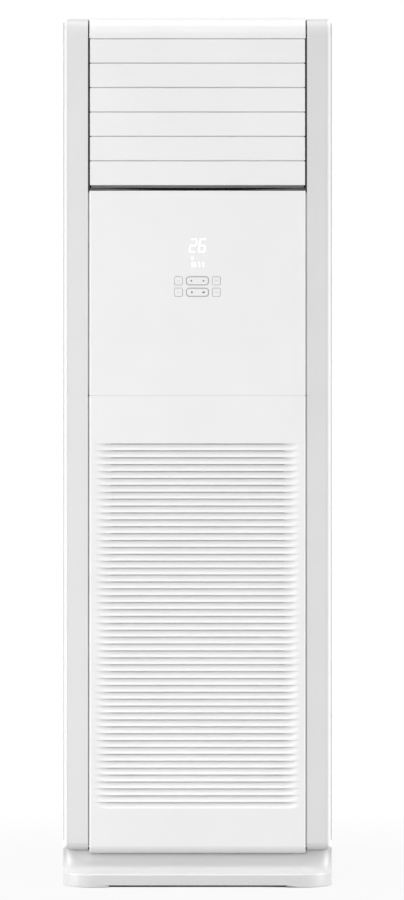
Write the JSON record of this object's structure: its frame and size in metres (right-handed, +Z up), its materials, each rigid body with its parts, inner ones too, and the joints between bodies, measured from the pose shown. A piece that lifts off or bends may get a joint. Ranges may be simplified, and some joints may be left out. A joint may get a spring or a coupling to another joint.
{
  "type": "floor standing air conditioner",
  "caption": "Tall floor standing indoor unit with swinging louvers over a keyed display panel and a slatted tilting intake panel, on a low plinth.",
  "frame": {"origin": "on the floor, under the middle of the unit", "axes": "+Z up, the front faces -Y, +X to the right as seen from the front"},
  "size_m": [0.58, 0.4, 1.87],
  "materials": {
    "panel_white": "smooth satin moulded plastic, bright white",
    "side_white": "satin white powder paint on steel",
    "post_grey": "satin pale grey moulded plastic",
    "key_white": "satin white key caps",
    "duct_black": "dull near-black duct",
    "inner_plastic": "mid grey moulded plastic",
    "galvanised": "galvanised sheet",
    "coil_fin": "plain aluminium fins",
    "copper": "copper tube",
    "steel": "turned and pressed steel",
    "motor_black": "black painted housing",
    "board_green": "circuit board",
    "rubber_black": "black moulded rubber",
    "hose_grey": "soft grey hose",
    "filter_mesh": "woven nylon mesh in a moulded frame"
  },
  "bodies": {
    "cabinet": {"base_plinth": "post_grey", "right_side_panel": "side_white", "left_side_panel": "side_white", "back_panel": "side_white", "top_plate": "side_white", "right_upper_post": "post_grey", "left_upper_post": "post_grey", "right_lower_post": "post_grey", "left_lower_post": "post_grey", "right_duct_wall": "duct_black", "left_duct_wall": "duct_black", "outlet_floor": "duct_black", "outlet_ceiling": "duct_black", "top_cap": "panel_white", "display_panel": "panel_white", "wall_bracket": "galvanised", "partition": "galvanised", "front_baffle": "galvanised", "scroll_housing": "galvanised", "inlet_bellmouth": "galvanised", "motor_bracket": "galvanised", "electric_box": "galvanised", "electric_box_lid": "galvanised", "display_board": "board_green", "drain_pan": "inner_plastic", "louver_motor": "steel", "vane_motor": "steel", "evaporator": "coil_fin", "gas_pipe": "copper", "liquid_pipe": "copper", "drain_hose": "hose_grey", "pipe_grommet": "rubber_black", "cable_gland": "rubber_black", "fan_motor": "motor_black", "terminal_block": "motor_black"},
    "louver_1": {"louver_1": "panel_white"},
    "louver_2": {"louver_2": "panel_white"},
    "louver_3": {"louver_3": "panel_white"},
    "louver_4": {"louver_4": "panel_white"},
    "louver_5": {"louver_5": "panel_white"},
    "louver_6": {"louver_6": "panel_white"},
    "louver_link": {"louver_link": "inner_plastic"},
    "vane_1": {"vane_1": "inner_plastic"},
    "vane_2": {"vane_2": "inner_plastic"},
    "vane_3": {"vane_3": "inner_plastic"},
    "vane_4": {"vane_4": "inner_plastic"},
    "vane_5": {"vane_5": "inner_plastic"},
    "vane_6": {"vane_6": "inner_plastic"},
    "vane_7": {"vane_7": "inner_plastic"},
    "vane_link": {"vane_link": "inner_plastic"},
    "intake_panel": {"intake_panel": "panel_white"},
    "air_filter": {"air_filter": "filter_mesh"},
    "upper_left_key": {"upper_left_key": "key_white"},
    "upper_rocker_key": {"upper_rocker_key": "key_white"},
    "upper_right_key": {"upper_right_key": "key_white"},
    "lower_left_key": {"lower_left_key": "key_white"},
    "lower_rocker_key": {"lower_rocker_key": "key_white"},
    "lower_right_key": {"lower_right_key": "key_white"},
    "fan": {"fan_wheel": "inner_plastic", "fan_shaft": "steel"}
  },
  "joints": [
    {"name": "louver_1_turn", "type": "hinge", "parent": "cabinet", "child": "louver_1", "pos_m": [0, -0.17, 1.79547], "axis": [-1, 0, 0], "range_deg": [0, 100]},
    {"name": "louver_2_turn", "type": "hinge", "parent": "cabinet", "child": "louver_2", "pos_m": [0, -0.17, 1.74303], "axis": [-1, 0, 0], "range_deg": [0, 100]},
    {"name": "louver_3_turn", "type": "hinge", "parent": "cabinet", "child": "louver_3", "pos_m": [0, -0.17, 1.69057], "axis": [-1, 0, 0], "range_deg": [0, 100]},
    {"name": "louver_4_turn", "type": "hinge", "parent": "cabinet", "child": "louver_4", "pos_m": [0, -0.17, 1.63813], "axis": [-1, 0, 0], "range_deg": [0, 100]},
    {"name": "louver_5_turn", "type": "hinge", "parent": "cabinet", "child": "louver_5", "pos_m": [0, -0.17, 1.58567], "axis": [-1, 0, 0], "range_deg": [0, 100]},
    {"name": "louver_6_turn", "type": "hinge", "parent": "cabinet", "child": "louver_6", "pos_m": [0, -0.17, 1.53323], "axis": [-1, 0, 0], "range_deg": [0, 100]},
    {"name": "louver_link_turn", "type": "hinge", "parent": "louver_1", "child": "louver_link", "pos_m": [-0.247, -0.15869, 1.80679], "axis": [-1, 0, 0], "range_deg": [-100, 0]},
    {"name": "vane_1_turn", "type": "hinge", "parent": "cabinet", "child": "vane_1", "pos_m": [-0.186, -0.11242, 1.66], "axis": [0, 0, 1], "range_deg": [-40, 40]},
    {"name": "vane_2_turn", "type": "hinge", "parent": "cabinet", "child": "vane_2", "pos_m": [-0.124, -0.11242, 1.66], "axis": [0, 0, 1], "range_deg": [-40, 40]},
    {"name": "vane_3_turn", "type": "hinge", "parent": "cabinet", "child": "vane_3", "pos_m": [-0.062, -0.11242, 1.66], "axis": [0, 0, 1], "range_deg": [-40, 40]},
    {"name": "vane_4_turn", "type": "hinge", "parent": "cabinet", "child": "vane_4", "pos_m": [0, -0.11242, 1.66], "axis": [0, 0, 1], "range_deg": [-40, 40]},
    {"name": "vane_5_turn", "type": "hinge", "parent": "cabinet", "child": "vane_5", "pos_m": [0.062, -0.11242, 1.66], "axis": [0, 0, 1], "range_deg": [-40, 40]},
    {"name": "vane_6_turn", "type": "hinge", "parent": "cabinet", "child": "vane_6", "pos_m": [0.124, -0.11242, 1.66], "axis": [0, 0, 1], "range_deg": [-40, 40]},
    {"name": "vane_7_turn", "type": "hinge", "parent": "cabinet", "child": "vane_7", "pos_m": [0.186, -0.11242, 1.66], "axis": [0, 0, 1], "range_deg": [-40, 40]},
    {"name": "vane_link_turn", "type": "hinge", "parent": "vane_4", "child": "vane_link", "pos_m": [0, -0.09242, 1.5], "axis": [0, 0, 1], "range_deg": [-40, 40]},
    {"name": "fan_spin", "type": "hinge", "parent": "cabinet", "child": "fan", "pos_m": [-0.01, 0.1, 0.4], "axis": [0, 1, 0], "continuous": true},
    {"name": "intake_panel_tilt", "type": "hinge", "parent": "cabinet", "child": "intake_panel", "pos_m": [0, -0.172, 0.088], "axis": [1, 0, 0], "range_deg": [0, 20]},
    {"name": "filter_lift", "type": "slide", "parent": "cabinet", "child": "air_filter", "axis": [0, 0, 1], "range_m": [0, 0.02]},
    {"name": "upper_left_key_press", "type": "slide", "parent": "cabinet", "child": "upper_left_key", "axis": [0, 1, 0], "range_m": [0, 0.0008], "stiffness_N_per_m": 500},
    {"name": "upper_right_key_press", "type": "slide", "parent": "cabinet", "child": "upper_right_key", "axis": [0, 1, 0], "range_m": [0, 0.0008], "stiffness_N_per_m": 500},
    {"name": "upper_rocker_key_tilt", "type": "hinge", "parent": "cabinet", "child": "upper_rocker_key", "pos_m": [0, -0.1845, 1.302], "axis": [0, 0, 1], "range_deg": [-1.5, 1.5], "stiffness_Nm_per_rad": 0.2},
    {"name": "lower_left_key_press", "type": "slide", "parent": "cabinet", "child": "lower_left_key", "axis": [0, 1, 0], "range_m": [0, 0.0008], "stiffness_N_per_m": 500},
    {"name": "lower_right_key_press", "type": "slide", "parent": "cabinet", "child": "lower_right_key", "axis": [0, 1, 0], "range_m": [0, 0.0008], "stiffness_N_per_m": 500},
    {"name": "lower_rocker_key_tilt", "type": "hinge", "parent": "cabinet", "child": "lower_rocker_key", "pos_m": [0, -0.1845, 1.2774], "axis": [0, 0, 1], "range_deg": [-1.5, 1.5], "stiffness_Nm_per_rad": 0.2}
  ],
  "couplings": [
    {"joint": "louver_2_turn", "follows": "louver_1_turn", "ratio": 1},
    {"joint": "louver_3_turn", "follows": "louver_1_turn", "ratio": 1},
    {"joint": "louver_4_turn", "follows": "louver_1_turn", "ratio": 1},
    {"joint": "louver_5_turn", "follows": "louver_1_turn", "ratio": 1},
    {"joint": "louver_6_turn", "follows": "louver_1_turn", "ratio": 1},
    {"joint": "louver_link_turn", "follows": "louver_1_turn", "ratio": -1},
    {"joint": "vane_1_turn", "follows": "vane_4_turn", "ratio": 1},
    {"joint": "vane_2_turn", "follows": "vane_4_turn", "ratio": 1},
    {"joint": "vane_3_turn", "follows": "vane_4_turn", "ratio": 1},
    {"joint": "vane_5_turn", "follows": "vane_4_turn", "ratio": 1},
    {"joint": "vane_6_turn", "follows": "vane_4_turn", "ratio": 1},
    {"joint": "vane_7_turn", "follows": "vane_4_turn", "ratio": 1},
    {"joint": "vane_link_turn", "follows": "vane_4_turn", "ratio": -1}
  ]
}
